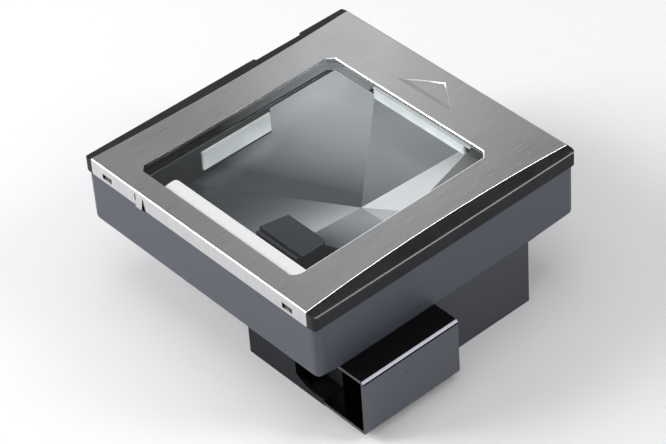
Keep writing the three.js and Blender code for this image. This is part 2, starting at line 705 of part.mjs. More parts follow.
const MIRRORS = [
  { name: "left_mirror", slope: [-0.092, 0], plan: [REAR_LEFT, [EDGE.left, EDGE.rear], FRONT_LEFT] },
  { name: "rear_mirror", slope: [0.035, 0.117], plan: [REAR_RIGHT, REAR_LEFT] },
  {
    name: "right_rear_mirror",
    slope: [0.423, 0.054],
    plan: [RIGHT_UPPER, [EDGE.right, 20], [38, EDGE.rear], REAR_RIGHT],
  },
  { name: "right_middle_mirror", slope: [0.424, -0.019], plan: [RIGHT_LOWER, RIGHT_UPPER] },
  {
    name: "right_front_mirror",
    slope: [0.417, -0.116],
    plan: [FRONT_RIGHT, [EDGE.right, EDGE.front], RIGHT_LOWER],
  },
  {
    name: "front_mirror",
    slope: [0.013, -0.139],
    plan: [FRONT_LEFT, [4, FRONT_LEFT[1]], [6.9, EDGE.front], FRONT_RIGHT],
  },
];

// Corners of a mirror in space, with its plan scaled about the low point
function facet({ slope, plan }, scale = 1) {
  return [[LOW.x, LOW.y], ...plan].map(([x, y]) => {
    const dx = (x - LOW.x) * scale;
    const dy = (y - LOW.y) * scale;
    return [LOW.x + dx, LOW.y + dy, LOW.z + slope[0] * dx + slope[1] * dy];
  });
}

function chassisEar(x, y) {
  const inner = x < 0 ? CHASSIS.x0 + 1 : CHASSIS.x1 - 1;
  const outer = x < 0 ? x - 4 : x + 4;
  return block(Math.min(inner, outer), Math.max(inner, outer), y - 4, y + 4, 15.5, 17.5);
}

function opticalChassis() {
  const { x0, x1, y0, y1, z0, z1 } = CHASSIS;
  const wall = CHASSIS_WALL;
  const shell = block(x0, x1, y0, y1, z0, z1);
  const hollow = block(x0 + wall, x1 - wall, y0 + wall, y1 - wall, z0 - 1, FLANGE_BOTTOM);
  const beamY = REAR_LIGHT.y1 + 1.2;
  const opening = block(WINDOW.x0 + 0.2, x1 - wall, WINDOW.y0 - 0.4, beamY, FLANGE_BOTTOM - 1, TOP);
  const bed = MIRRORS.map((mirror) => slab(facet(mirror, 1.02), BED_DROP, BED_THICK));
  const floor = block(x0 + 1, x1 - 1, y0 + 1, FLOOR.y1, FLOOR.z0, FLOOR.z1);
  const lightWall = block(LIGHT_WALL.x - wall, LIGHT_WALL.x, y0 + 1, LIGHT_WALL.y1, LIGHT_WALL.z0, z1);
  const lightEnd = block(x0 + 1, LIGHT_WALL.x, LIGHT_WALL.y1 - wall, LIGHT_WALL.y1, 17, z1);
  const lightGap = block(
    LIGHT_WALL.x - wall - 1,
    LIGHT_WALL.x + 1,
    LEFT_LIGHT.y0 + 2,
    LEFT_LIGHT.y1 - 2,
    LEFT_LIGHT.z0 + 1.5,
    LEFT_LIGHT.z1 - 1.5,
  );
  const beam = block(x0 + 1, x1 - 1, beamY, REAR_LIGHT.y1 + 3, 25.4, z1);
  const gusset = outline([
    [35.8, 50.6],
    [35.8, 49.4],
    [50.2, -5.6],
    [52.6, -5.6],
    [52.6, 50.6],
  ]);
  const ears = CHASSIS_SCREWS.map(([x, y]) => chassisEar(x, y));
  const holes = CHASSIS_SCREWS.map(([x, y]) => rod("z", x, y, 14, 19, SCREW_HOLE, 12));
  const cableSlot = block(22, 33, -51, -48.7, FLOOR.z0 - 1, FLOOR.z1 + 1);
  const parts = [without(shell, [hollow, opening]), ...bed, floor, lightWall.subtract(lightGap), lightEnd];
  return without(joined([...parts, beam, extrude(gusset, 25, z1 - 1.9), ...ears]), [...holes, cableSlot]);
}

// Foam strip between the chassis and the cover, open at the rear for the light bar
function dustSeal() {
  const z0 = CHASSIS.z1 + GAP;
  const z1 = LEDGE_BOTTOM - GAP;
  const outer = extrude(cornered(...grown(WINDOW, 2.4), WINDOW_CHAMFER, true), z0, z1);
  const inner = extrude(cornered(...grown(WINDOW, 0.8), WINDOW_CHAMFER, true), 20, TOP);
  return without(outer, [inner, block(REAR_LIGHT.x0 - 2, REAR_LIGHT.x1 + 2, 40, 60, 20, TOP)]);
}

function cameraHousing() {
  const { x0, x1, y0, y1, z0, z1, taper } = CAMERA;
  const shape = new THREE.Shape();
  shape.moveTo(x0, y0);
  shape.lineTo(x1, y0);
  shape.lineTo(x1, y1 - 3);
  shape.quadraticCurveTo(x1, y1, x1 - 3, y1);
  shape.lineTo(x0 + taper, y1);
  const bore = rod("y", LENS.x, LENS.z, y0 - 1, y1 + 1, 4.6, 20);
  return extrude(shape, z0, z1).subtract(bore);
}

function lensBarrel() {
  const barrel = rod("y", LENS.x, LENS.z, CAMERA.y0 + 2, CAMERA.y1 - 0.6, 4.3, 20);
  return barrel.subtract(rod("y", LENS.x, LENS.z, CAMERA.y0 + 1, CAMERA.y1, 3.1, 20));
}

// Double convex lens turned about the optical axis, which runs along Y
function lensElement() {
  const radius = 2.8;
  const rim = 0.5;
  const bulge = 0.7;
  const steps = 4;
  const profile = [];
  for (let i = 0; i <= steps; i += 1) {
    const r = (radius * i) / steps;
    profile.push(new THREE.Vector2(r, -rim - bulge * (1 - (r / radius) ** 2)));
  }
  for (let i = steps; i >= 0; i -= 1) {
    const r = (radius * i) / steps;
    profile.push(new THREE.Vector2(r, rim + bulge * (1 - (r / radius) ** 2)));
  }
  const geometry = new THREE.LatheGeometry(profile, 20);
  geometry.translate(LENS.x, CAMERA.y1 - 3, LENS.z);
  return solidOf(geometry);
}

// Flat ribbon that falls from the camera board through the tray to the main board
function flexCable() {
  const top = [-49.3, 15];
  const foot = [-45.5, BOARD.z1 + GAP];
  const half = 0.15;
  const curve = new THREE.CubicBezierCurve(
    new THREE.Vector2(...top),
    new THREE.Vector2(top[0], -8),
    new THREE.Vector2(foot[0] - 6, foot[1] + 8),
    new THREE.Vector2(...foot),
  );
  const points = curve.getPoints(12);
  const side = (sign) => points.map((point) => new THREE.Vector2(point.x + sign * half, point.y));
  const shape = new THREE.Shape([...side(1), ...side(-1).reverse()]);
  const geometry = new THREE.ExtrudeGeometry(shape, { depth: 9, bevelEnabled: false });
  geometry.translate(0, 0, 23);
  // The profile's X becomes Y and its Y becomes Z
  geometry.applyMatrix4(new THREE.Matrix4().set(0, 0, 1, 0, 1, 0, 0, 0, 0, 1, 0, 0, 0, 0, 0, 1));
  return solidOf(geometry);
}

add(housing, "optical_chassis", opticalChassis(), "black");
MIRRORS.forEach((mirror) => {
  add(housing, mirror.name, slab(shrunk(facet(mirror), 0.3), 0, MIRROR_THICK), "mirror");
});
CHASSIS_SCREWS.forEach(([x, y], i) => {
  add(housing, `chassis_screw_${i + 1}`, screw(9), "zinc", [x, y, 17.5 + GAP]).rotateX(Math.PI);
});
add(housing, "dust_seal", dustSeal(), "rubber");

function leftLight() {
  const { y0, y1, z0, z1 } = LEFT_LIGHT;
  const panelX = LIGHT_WALL.x + GAP;
  const boardX = LIGHT_WALL.x - CHASSIS_WALL - GAP;
  return {
    panel: block(panelX, panelX + 1.2, y0, y1, z0, z1),
    board: block(boardX - 1.5, boardX, y0, y1 - 1.5, z0 + 1, z1),
  };
}

// The rear panel's upper edge is folded back over its board
function rearLight() {
  const { x0, x1, y0, y1, z0, z1 } = REAR_LIGHT;
  const fold = block(LIGHT_LEDGE.x0, LIGHT_LEDGE.x1, y1 - 0.6, LIGHT_LEDGE.y1, LIGHT_LEDGE.z0, z1);
  return {
    panel: block(x0, x1, y0, y1, z0, z1).add(fold),
    board: block(x0, x1 - 2, y1 + GAP, y1 + 1.1, z0, LIGHT_LEDGE.z0 - GAP),
  };
}

function imageSensor() {
  const halfX = 3.2;
  const halfZ = 2.6;
  return block(LENS.x - halfX, LENS.x + halfX, -46.8, -45.2, LENS.z - halfZ, LENS.z + halfZ);
}

add(housing, "left_diffuser", leftLight().panel, "diffuser");
add(housing, "left_led_board", leftLight().board, "board");
add(housing, "rear_diffuser", rearLight().panel, "diffuser");
add(housing, "rear_led_board", rearLight().board, "board");

add(housing, "camera_housing", cameraHousing(), "black");
add(housing, "lens_barrel", lensBarrel(), "black");
add(housing, "lens_element", lensElement(), "lens");
add(housing, "image_sensor", imageSensor(), "chip");
add(housing, "camera_board", block(6.5, 32.5, -48.5, -46.9, 8.2, 23.5), "board");
add(housing, "flex_cable", flexCable(), "cable");

// ---------- electronics ----------

function mainBoard() {
  const holes = BASE_SCREWS.map(([x, y]) => rod("z", x, y, BOARD.z0 - 1, BOARD.z1 + 1, SCREW_HOLE, 12));
  return without(block(BOARD.x0, BOARD.x1, BOARD.y0, BOARD.y1, BOARD.z0, BOARD.z1), holes);
}

function volumeButton() {
  const cap = rod("x", BUTTON.y, BUTTON.z, -HALF, -72.8, 3);
  return cap.add(rod("x", BUTTON.y, BUTTON.z, -72.9, -71.9, 4.2));
}

const onBoard = BOARD.z1 + GAP;
add(housing, "main_board", mainBoard(), "board");
BASE_SCREWS.forEach(([x, y], i) => {
  add(housing, `board_screw_${i + 1}`, screw(2.6), "zinc", [x, y, onBoard]).rotateX(Math.PI);
});
add(housing, "processor", block(26, 42, 2, 18, onBoard, onBoard + 1.6), "chip");
add(housing, "memory_chip", block(26, 36, 22, 30, onBoard, onBoard + 1.2), "chip");
add(housing, "beeper", ring(49, 24, onBoard, onBoard + 7, 6, 1.5, 24), "socket");
add(housing, "button_switch", block(-70.7, -67.5, 16, 24, 10, 18), "socket");
add(housing, "switch_board", block(-67.4, -66, 10, 30, 5, 23), "board");
add(housing, "volume_button", volumeButton(), "black");

export default group;
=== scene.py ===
"""Looks of a flatbed counter scanner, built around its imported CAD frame. Metres, +Z up."""

import json
import math

import bmesh
import bpy
from mathutils import Matrix, Vector


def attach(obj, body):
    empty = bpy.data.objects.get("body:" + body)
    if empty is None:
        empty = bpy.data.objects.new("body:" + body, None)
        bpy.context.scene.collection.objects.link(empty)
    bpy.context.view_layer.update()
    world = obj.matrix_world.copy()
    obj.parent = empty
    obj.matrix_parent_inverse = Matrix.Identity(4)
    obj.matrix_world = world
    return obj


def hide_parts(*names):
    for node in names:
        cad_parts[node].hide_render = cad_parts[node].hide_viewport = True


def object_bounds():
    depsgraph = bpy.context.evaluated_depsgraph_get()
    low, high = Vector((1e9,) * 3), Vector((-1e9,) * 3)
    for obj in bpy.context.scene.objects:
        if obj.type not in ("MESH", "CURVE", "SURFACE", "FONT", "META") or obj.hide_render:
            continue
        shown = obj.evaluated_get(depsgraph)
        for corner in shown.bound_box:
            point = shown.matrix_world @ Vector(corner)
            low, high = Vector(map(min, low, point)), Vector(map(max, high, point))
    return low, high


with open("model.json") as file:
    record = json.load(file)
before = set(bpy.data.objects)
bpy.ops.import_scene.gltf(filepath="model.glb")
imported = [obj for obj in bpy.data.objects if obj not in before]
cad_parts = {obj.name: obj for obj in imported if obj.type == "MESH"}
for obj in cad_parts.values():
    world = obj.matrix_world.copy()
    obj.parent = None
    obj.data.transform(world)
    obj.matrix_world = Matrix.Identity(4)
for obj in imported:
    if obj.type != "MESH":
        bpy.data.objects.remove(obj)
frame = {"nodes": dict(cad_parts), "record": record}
cad_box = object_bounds()

MM = 0.001
BODY_OF = {n: b for b, ns in frame["record"]["behaviour"]["bodies"].items() for n in ns}
SLOT_OF = {p["node"]: p["material_slot"] for p in frame["record"]["subparts"]}

# ---------- objects and meshes ----------


def linked(name, data):
    """A new object that shows this data."""
    obj = bpy.data.objects.new(name, data)
    bpy.context.scene.collection.objects.link(obj)
    return obj


def as_data(mesh, name):
    """The bmesh as mesh data. The bmesh is freed."""
    data = bpy.data.meshes.new(name)
    mesh.to_mesh(data)
    mesh.free()
    return data


# ---------- node helpers ----------


def make(tree, kind, inputs=None, **settings):
    """A node with its settings, and each input either linked or set."""
    node = tree.nodes.new(kind)
    for key, value in settings.items():
        setattr(node, key, value)
    for key, value in (inputs or {}).items():
        if isinstance(value, bpy.types.NodeSocket):
            tree.links.new(value, node.inputs[key])
        else:
            node.inputs[key].default_value = value
    return node


def place(tree, scale):
    """Object coordinates in metres times scale, one number or three."""
    where = make(tree, "ShaderNodeTexCoord").outputs["Object"]
    scale = (scale,) * 3 if isinstance(scale, (int, float)) else scale
    return make(tree, "ShaderNodeMapping", {"Vector": where, "Scale": scale}).outputs["Vector"]


def noise(tree, scale, detail=3.0, roughness=0.55):
    """Noise of about scale waves to a metre, one number or one for each axis."""
    inputs = {"Vector": place(tree, scale), "Scale": 1.0, "Detail": detail, "Roughness": roughness}
    return make(tree, "ShaderNodeTexNoise", inputs).outputs["Fac"]


def cells(tree, scale, randomness, **settings):
    """Distance to the points of a cell pattern, with about scale cells to a metre."""
    inputs = {"Vector": place(tree, scale), "Scale": 1.0, "Randomness": randomness}
    return make(tree, "ShaderNodeTexVoronoi", inputs, **settings).outputs["Distance"]


def spread(tree, value, low, high, start=0.3, end=0.7):
    """value from start to end becomes low to high."""
    inputs = {"Value": value, "From Min": start, "From Max": end, "To Min": low, "To Max": high}
    return make(tree, "ShaderNodeMapRange", inputs).outputs["Result"]


def math_node(tree, operation, a, b=0.0):
    return make(tree, "ShaderNodeMath", {0: a, 1: b}, operation=operation).outputs["Value"]


def weighted(tree, a, b, share):
    """share of a, and the rest of b."""
    parts = [math_node(tree, "MULTIPLY", value, part) for value, part in ((a, share), (b, 1 - share))]
    return math_node(tree, "ADD", *parts)


def mixed(tree, factor, a, b):
    """Colour a to b, each an RGB triple or a socket."""
    colours = [c if isinstance(c, bpy.types.NodeSocket) else (*c, 1) for c in (a, b)]
    inputs = {0: factor, 6: colours[0], 7: colours[1]}
    return make(tree, "ShaderNodeMix", inputs, data_type="RGBA").outputs[2]


def bump(tree, height, depth_mm, strength):
    inputs = {"Height": height, "Distance": depth_mm * MM, "Strength": strength}
    return make(tree, "ShaderNodeBump", inputs).outputs["Normal"]


def shades(colour, by):
    """The colour a share darker, and a share lighter."""
    return tuple(c * (1 - by) for c in colour), tuple(min(1, c * (1 + by)) for c in colour)


def material(name, paint):
    """A material whose Principled shader paint(tree, shader) sets up."""
    made = bpy.data.materials.new(name)
    made.use_nodes = True
    tree = made.node_tree
    paint(tree, tree.nodes["Principled BSDF"])
    return made


def wire(tree, shader, **sockets):
    """Sets or links the shader's sockets, named with _ for a space."""
    for key, value in sockets.items():
        socket = shader.inputs[key.replace("_", " ")]
        if isinstance(value, bpy.types.NodeSocket):
            tree.links.new(value, socket)
        else:
            socket.default_value = value


# ---------- finishes ----------

# Scales of the marks in brushed steel: across the brushing, and along it
STREAKS = (2800, 90)
BANDS = (2800 / 2.2, 30)


def steel_paint(colour, rough, along):
    """Brushed sheet, with fine streaks and broader bands. along names the axes that they follow."""

    def brushed(tree, scales, detail):
        return noise(tree, [scales[axis in along] for axis in "xyz"], detail)

    def paint(tree, shader):
        marks = weighted(tree, brushed(tree, STREAKS, 4), brushed(tree, BANDS, 2), 0.6)
        clouds = noise(tree, 22, 2)
        rougher = spread(tree, marks, rough - 0.05, rough + 0.06)
        wire(
            tree,
            shader,
            Base_Color=mixed(tree, spread(tree, marks, 0, 1), *shades(colour, 0.12)),
            Metallic=1.0,
            Roughness=math_node(tree, "ADD", rougher, spread(tree, clouds, -0.03, 0.03)),
            Normal=bump(tree, marks, 0.012, 0.4),
        )

    return paint


def moulded_paint(colour, rough, grain=1500, depth=0.02, vary=0.05, shine=0.5):
    """Moulded plastic with a spark-eroded grain, depth in mm, and faint flow marks."""

    def paint(tree, shader):
        specks = noise(tree, grain, 3, 0.6)
        tone = weighted(tree, specks, noise(tree, (35, 35, 60), 2), 0.5)
        wire(
            tree,
            shader,
            Base_Color=mixed(tree, spread(tree, tone, 0, 1), *shades(colour, vary)),
            Roughness=spread(tree, tone, rough - 0.04, rough + 0.05),
            Normal=bump(tree, specks, depth, 0.6),
            Specular_IOR_Level=shine,
        )

    return paint


def gloss_paint(colour, rough):
    """Gloss paint: slight orange peel, and dust specks."""

    def paint(tree, shader):
        dust = spread(tree, noise(tree, 1900, 2), 0, 1, 0.68, 0.76)
        wire(
            tree,
            shader,
            Base_Color=mixed(tree, dust, colour, tuple(c * 2.2 + 0.01 for c in colour)),
            Roughness=spread(tree, noise(tree, 60, 3), rough, rough + 0.08),
            Normal=bump(tree, noise(tree, 260, 2), 0.02, 0.35),
            IOR=1.75,
        )

    return paint


def glass_paint(tint, strength):
    """Clear pane: straight-through light with a mirror reflection that grows towards grazing."""

    def paint(tree, shader):
        facing = make(tree, "ShaderNodeLayerWeight", {"Blend": 0.5}).outputs["Facing"]
        grazing = math_node(tree, "POWER", facing, 5.0)
        amount = spread(tree, grazing, strength, 1.0, 0, 1)
        smudge = spread(tree, noise(tree, 40, 3), 0.0, 0.045)
        clear = make(tree, "ShaderNodeBsdfTransparent", {"Color": (*tint, 1)}).outputs["BSDF"]
        gloss = {"Color": (1, 1, 1, 1), "Roughness": smudge}
        shine = make(tree, "ShaderNodeBsdfGlossy", gloss).outputs["BSDF"]
        blend = make(tree, "ShaderNodeMixShader", {0: amount, 1: clear, 2: shine})
        tree.nodes.remove(shader)
        tree.links.new(blend.outputs["Shader"], tree.nodes["Material Output"].inputs["Surface"])

    return paint


GLOW_TINT = (0.95, 1.0, 1.03)  # slightly blue tint of the painted glow


def mirror_paint(near, far, rough, metal, toward=(0, 1, 0), start=0.0, end=1.0, painted_glow=(0, 0), curve=1.0):
    """Silvered facet, or a plain wall. Its tone runs from near to far along the direction toward, from
    start to end in mm, slowly at first where curve is above 1: a painted reflection on the facets, painted
    light on the walls. The pair before curve is a painted glow that the surface gives off at the start and at
    the end."""

    def paint(tree, shader):
        cloud = noise(tree, 70, 3)
        # painted reflection on the facets, painted light on the walls: the tone runs from near to far along
        # toward
        product = {0: place(tree, 1 / MM), 1: toward}
        along = make(tree, "ShaderNodeVectorMath", product, operation="DOT_PRODUCT").outputs["Value"]
        share = math_node(tree, "POWER", spread(tree, along, 0, 1, start, end), curve)
        tone = mixed(tree, share, near, far)
        dim = mixed(tree, 0.07, tone, (0, 0, 0))
        wire(
            tree,
            shader,
            Base_Color=mixed(tree, spread(tree, cloud, 0, 1), dim, tone),
            Metallic=metal,
            Roughness=spread(tree, cloud, rough, rough + 0.05),
        )
        # painted glow: the surface gives off light of its own, standing in for stray light
        if painted_glow != (0, 0):
            pale = [tuple(c * light for c in GLOW_TINT) for light in painted_glow]
            wire(tree, shader, Emission_Color=mixed(tree, share, *pale), Emission_Strength=1.0)

    return paint


def even_mirror(tone, rough, metal, painted_glow=(0, 0)):
    return mirror_paint(tone, tone, rough, metal, painted_glow=painted_glow)


PRISM_LINES = 7.0  # in radians to a mm


def diffuser_paint(colour, across, pitch, lows):
    """Opal light panel with fine prism lines, a bright lower part and a soft spot over each LED.
    across is the axis that the LEDs run along, and pitch their spacing in mm. The light fades between the two
    heights in lows, in mm."""

    def paint(tree, shader):
        axes = make(tree, "ShaderNodeSeparateXYZ", {"Vector": place(tree, 1 / MM)}).outputs
        lines = math_node(tree, "SINE", math_node(tree, "MULTIPLY", axes[across], PRISM_LINES))
        spots = math_node(tree, "COSINE", math_node(tree, "MULTIPLY", axes[across], 2 * math.pi / pitch))
        cloud = noise(tree, 90, 2)
        rise = spread(tree, axes["Z"], 1, 0, *lows)
        light = math_node(tree, "MULTIPLY", rise, spread(tree, spots, 0.45, 1.0, -0.6, 1.0))
        uneven = math_node(tree, "ADD", light, spread(tree, cloud, -0.12, 0.12))
        wire(
            tree,
            shader,
            Base_Color=mixed(tree, spread(tree, cloud, 0, 1), *shades(colour, 0.04)),
            Roughness=spread(tree, cloud, 0.28, 0.4),
            Normal=bump(tree, lines, 0.04, 0.3),
            Subsurface_Weight=0.25,
            Subsurface_Radius=(0.003, 0.003, 0.003),
            Emission_Color=mixed(tree, uneven, (0.20, 0.225, 0.22), (0.62, 0.65, 0.645)),
            Emission_Strength=0.55,
        )

    return paint


def board_paint(tree, shader):
    """Solder mask over copper tracks, with plated pads."""
    paths = cells(tree, 210, 0.7, feature="F2", distance="MANHATTAN")
    tracks = spread(tree, math_node(tree, "PINGPONG", paths, 0.12), 0, 1, 0.05, 0.07)
    pads = spread(tree, cells(tree, 330, 0.6, feature="F1"), 1, 0, 0.13, 0.17)
    mask = mixed(tree, tracks, (0.008, 0.055, 0.03), (0.018, 0.12, 0.06))
    wire(
        tree,
        shader,
        Base_Color=mixed(tree, pads, mask, (0.62, 0.58, 0.46)),
        Roughness=spread(tree, pads, 0.42, 0.26, 0, 1),
        Metallic=spread(tree, pads, 0.0, 0.9, 0, 1),
        Normal=bump(tree, tracks, 0.03, 0.5),
    )


def ribbon_paint(tree, shader):
    """Polyimide film with copper lines that run along it."""
    stripes = {"Vector": place(tree, 1), "Scale": 320, "Distortion": 0.0}
    lines = make(tree, "ShaderNodeTexWave", stripes, bands_direction="X").outputs["Fac"]
    copper = spread(tree, lines, 0, 1, 0.45, 0.6)
    wire(
        tree,
        shader,
        Base_Color=mixed(tree, copper, (0.62, 0.27, 0.05), (0.42, 0.17, 0.04)),
        Roughness=spread(tree, noise(tree, 300), 0.25, 0.38),
        Normal=bump(tree, copper, 0.02, 0.4),
    )


def film_paint(colour):
    """Printed plastic film: satin, with a faint fibre."""

    def paint(tree, shader):
        fibre = noise(tree, (1400, 500, 900), 3)
        wire(
            tree,
            shader,
            Base_Color=mixed(tree, spread(tree, fibre, 0, 1), *shades(colour, 0.03)),
            Roughness=spread(tree, fibre, 0.36, 0.5),
            Normal=bump(tree, fibre, 0.01, 0.4),
        )

    return paint


def zinc_paint(tree, shader):
    """Zinc plate: mottled, faintly yellow and blue."""
    tint = noise(tree, 900, 3)
    wire(
        tree,
        shader,
        Base_Color=mixed(tree, spread(tree, tint, 0, 1), (0.60, 0.58, 0.50), (0.60, 0.63, 0.66)),
        Metallic=1.0,
        Roughness=spread(tree, tint, 0.26, 0.42),
        Normal=bump(tree, tint, 0.01, 0.4),
    )


PAINTS = {
    "brushed_steel": steel_paint((0.50, 0.50, 0.505), 0.31, "yz"),
    "rail_plastic": moulded_paint((0.014, 0.015, 0.0165), 0.5, 1100, 0.08, 0.85, 0.2),
    "housing_plastic": moulded_paint((0.055, 0.059, 0.078), 0.45),
    "bracket_paint": gloss_paint((0.001, 0.001, 0.0015), 0.03),
    "window_glass": glass_paint((0.97, 0.977, 0.977), 0.03),
    "lens_glass": glass_paint((0.45, 0.5, 0.62), 0.09),
    "seal_rubber": moulded_paint((0.02, 0.02, 0.021), 0.75, 2400, 0.03, 0.15),
    "label_film": film_paint((0.74, 0.74, 0.735)),
    "mirror": even_mirror((0.60, 0.63, 0.64), 0.3, 0.6),
    "diffuser": diffuser_paint((0.80, 0.83, 0.825), "X", 14.5, (26, 30)),
    "circuit_board": board_paint,
    "chip_epoxy": moulded_paint((0.018, 0.018, 0.02), 0.5, 2600, 0.01, 0.15),
    "black_plastic": moulded_paint((0.030, 0.034, 0.038), 0.4, 1800, 0.02, 0.1),
    "chassis_plastic": moulded_paint((0.030, 0.033, 0.037), 0.42, 1500, 0.02, 0.08),
    "ribbon": ribbon_paint,
    "zinc": zinc_paint,
}
LEFT_REAR = (-0.6, 1, 0)  # direction in which the painted light, reflections and glow in the window grow
RIGHT = (1, 0, 0)
FRONT = (0, -1, 0)
# Finishes of single pieces, or of some of a piece's faces, that differ a little from their slot's own. Most
# are painted light, shade, highlights or reflections, as each says.
SPECIAL_PAINTS = {
    # painted highlight: the rounded steel edges get a near-white steel colour, far lighter than the sheet;
    # their lower roughness is a real polish
    "steel_edge_painted_highlight": steel_paint((0.95, 0.95, 0.955), 0.2, "xyz"),
    # painted light: a lighter copy of the brushed steel for the front lip, the catch's pad and the arrow's
    # sloping sides
    "steel_painted_light": steel_paint((0.62, 0.62, 0.625), 0.31, "yz"),
    # painted highlight and painted glow: a near-white mirror that gives off light, on the right and rear
    # edges of the window's opening
    "opening_edge_painted_highlight": even_mirror((0.9, 0.9, 0.9), 0.25, 1.0, painted_glow=(0.45, 0.45)),
    # painted shade: near-black on the steel tabs behind the lip's slots and on the catch's right side, where
    # shade falls
    "tab_painted_shade": moulded_paint((0.02, 0.02, 0.021), 0.4),
    # painted highlight: a lighter grey, glossier line along the rails' rounded outer edges
    "rail_bend_painted_highlight": moulded_paint((0.07, 0.072, 0.075), 0.25, 1900, 0.01, 0.1, 0.9),
    # painted light: pale grey on the gasket's rear run, where it looks to the front
    "rubber_painted_light": moulded_paint((0.30, 0.30, 0.30), 0.7, 2400, 0.03, 0.1),
    # painted shade: a darker copy of the housing plastic for the whole lower housing, which sits under the
    # tray's overhang
    "lower_housing": moulded_paint((0.030, 0.033, 0.043), 0.5),
    "shaded_plastic": moulded_paint((0.010, 0.011, 0.014), 0.6, 1500, 0.02, 0.1, 0.2),
    # painted shade: near-black without shine in the connector bay and cable pocket, behind the lip's slots,
    # in the catch's pocket, on the bracket's top and under its bend
    "shade_black": moulded_paint((0.002, 0.002, 0.0025), 0.7, 1500, 0.02, 0.1, 0.1),
    # painted reflection: slate blue on the outer wall of the gloss-black bracket
    "bracket_wall_painted_reflection": moulded_paint((0.062, 0.067, 0.085), 0.3, 900, 0.01, 0.03),
    # painted highlight: pale lavender on the upper part of the bracket's bend
    "bracket_bend_painted_highlight": moulded_paint((0.52, 0.52, 0.60), 0.3, 900, 0.01, 0.03),
    # painted light: a lighter grey copy of the chassis plastic on the gusset
    "gusset_painted_light": moulded_paint((0.23, 0.23, 0.232), 0.5, 1500, 0.03, 0.12),
    "camera_board": moulded_paint((0.035, 0.040, 0.048), 0.4, 900, 0.05, 0.3),
    "left_diffuser": diffuser_paint((0.84, 0.86, 0.86), "Y", 40, (16, 24)),
    # painted light and painted glow: the ledge, the gasket and the chassis's left wall round the window turn
    # lighter, and give off light, towards the left rear
    "ledge_painted_light": mirror_paint(
        (0.022, 0.022, 0.022), (0.20, 0.20, 0.20), 0.45, 0.0, LEFT_REAR, 10, 80, painted_glow=(0, 0.17)
    ),
    "window_gasket": mirror_paint(
        (0.03, 0.03, 0.03), (0.16, 0.16, 0.16), 0.6, 0.0, LEFT_REAR, 10, 80, painted_glow=(0, 0.17)
    ),
    "wall_painted_glow": mirror_paint(
        (0.02, 0.02, 0.02), (0.20, 0.205, 0.21), 0.4, 0.0, LEFT_REAR, 8, 74, painted_glow=(0, 0.38)
    ),
    # painted reflections: each mirror facet's tone runs dark to light, or back, to stand for what it
    # reflects; the left and rear facets also give off painted glow
    "left_mirror": mirror_paint(
        (0.11, 0.12, 0.126), (0.28, 0.29, 0.30), 0.3, 0.4, LEFT_REAR, 8, 74, painted_glow=(0, 0.37)
    ),
    "rear_mirror": mirror_paint(
        (0.15, 0.17, 0.18), (0.28, 0.30, 0.31), 0.3, 0.5, LEFT_REAR, 5, 66, painted_glow=(0.05, 0.22)
    ),
    "right_rear_mirror": mirror_paint((0.93, 0.93, 0.935), (0.90, 0.90, 0.905), 0.35, 0.1, RIGHT, 12, 50),
    "right_middle_mirror": mirror_paint((0.57, 0.58, 0.59), (0.62, 0.63, 0.64), 0.35, 0.1, RIGHT, 12, 50),
    "right_front_mirror": mirror_paint((0.50, 0.51, 0.52), (0.12, 0.13, 0.135), 0.32, 0.4, FRONT, 2, 28),
    "front_mirror": mirror_paint(
        (0.078, 0.088, 0.092), (0.66, 0.68, 0.69), 0.3, 0.4, RIGHT, -45, 12, curve=3.5
    ),
}
MATERIALS = {slot: material(slot, paint) for slot, paint in {**PAINTS, **SPECIAL_PAINTS}.items()}

# ---------- faces that have a finish of their own, or painted light, shade, highlights or reflections ---

EVERYWHERE = (-math.inf, math.inf)


def inside(at, x=EVERYWHERE, y=EVERYWHERE, z=EVERYWHERE):
    """Whether a point lies between these bounds, in mm."""
    return all(low < value < high for value, (low, high) in zip(at, (x, y, z)))


def rail_bend(at, normal):
    """Rounded edge between a rail's slope and its side."""
    return abs(at.x) > 73 and 0.45 < normal.z < 0.93


def behind_lip(at, normal):
    """The frame's front, seen through the slots in the steel lip."""
    return normal.y < -0.7 and inside(at, x=(-71, 71), y=(-math.inf, -75))


def catch_pocket(at, normal):
    """Walls of the pocket in the frame that the catch moves in."""
    return inside(at, x=(-42.2, -33), y=(-76.3, -65.9), z=(25, 34.3))


def pressed_tab(at, normal):
    """Tabs pressed in behind the snap slots of the front lip."""
    return normal.y < -0.9 and inside(at, y=(-76, -75.6), z=(29, 32.2))


def front_lip(at, normal):
    """Outer face of the folded front lip, and of the catch's pad in it."""
    return normal.y < -0.9 and at.y < -76.1


def right_opening_edge(at, normal):
    """Rounded edge on the right of the window's opening."""
    return inside(at, x=(45, 53), z=(35, math.inf)) and normal.x < -0.1 and normal.z > 0.2


def rear_opening_edge(at, normal):
    """Rounded edge at the rear of the window's opening."""
    return inside(at, y=(40, 54), z=(35, math.inf)) and normal.y < -0.1 and normal.z > 0.2


def arrow_wall(at, normal):
    """Sloping sides of the pressed arrow."""
    return normal.z < 0.9 and inside(at, x=(-19, 19), y=(56, 70), z=(35, 36))


def right_side(at, normal):
    """Whatever looks to the right."""
    return normal.x > 0.5


def rear_side(at, normal):
    """The gasket's rear run, on the side that looks to the front."""
    return at.y > 45 and normal.y < -0.7


def window_side(at, normal):
    """Steps and ledge round the window."""
    return inside(at, x=(-56, 56), y=(-70, 53), z=(-math.inf, 35.3))


def gusset(at, normal):
    """The chassis's triangular plate beside the right mirrors."""
    return inside(at, x=(34, math.inf), y=(-6, math.inf), z=(24.9, 27.2))


def left_wall(at, normal):
    """The chassis's left wall, on the side that looks into the window."""
    return normal.x > 0.9 and at.x < -57


def inside_bay(at, normal):
    """Walls of the connector bay and the cable pocket."""
    return normal.y > -0.7 and inside(at, x=(42, 62), y=(-61.9, -8))


def front_wall(at, normal):
    """Whatever looks to the front."""
    return normal.y < -0.7


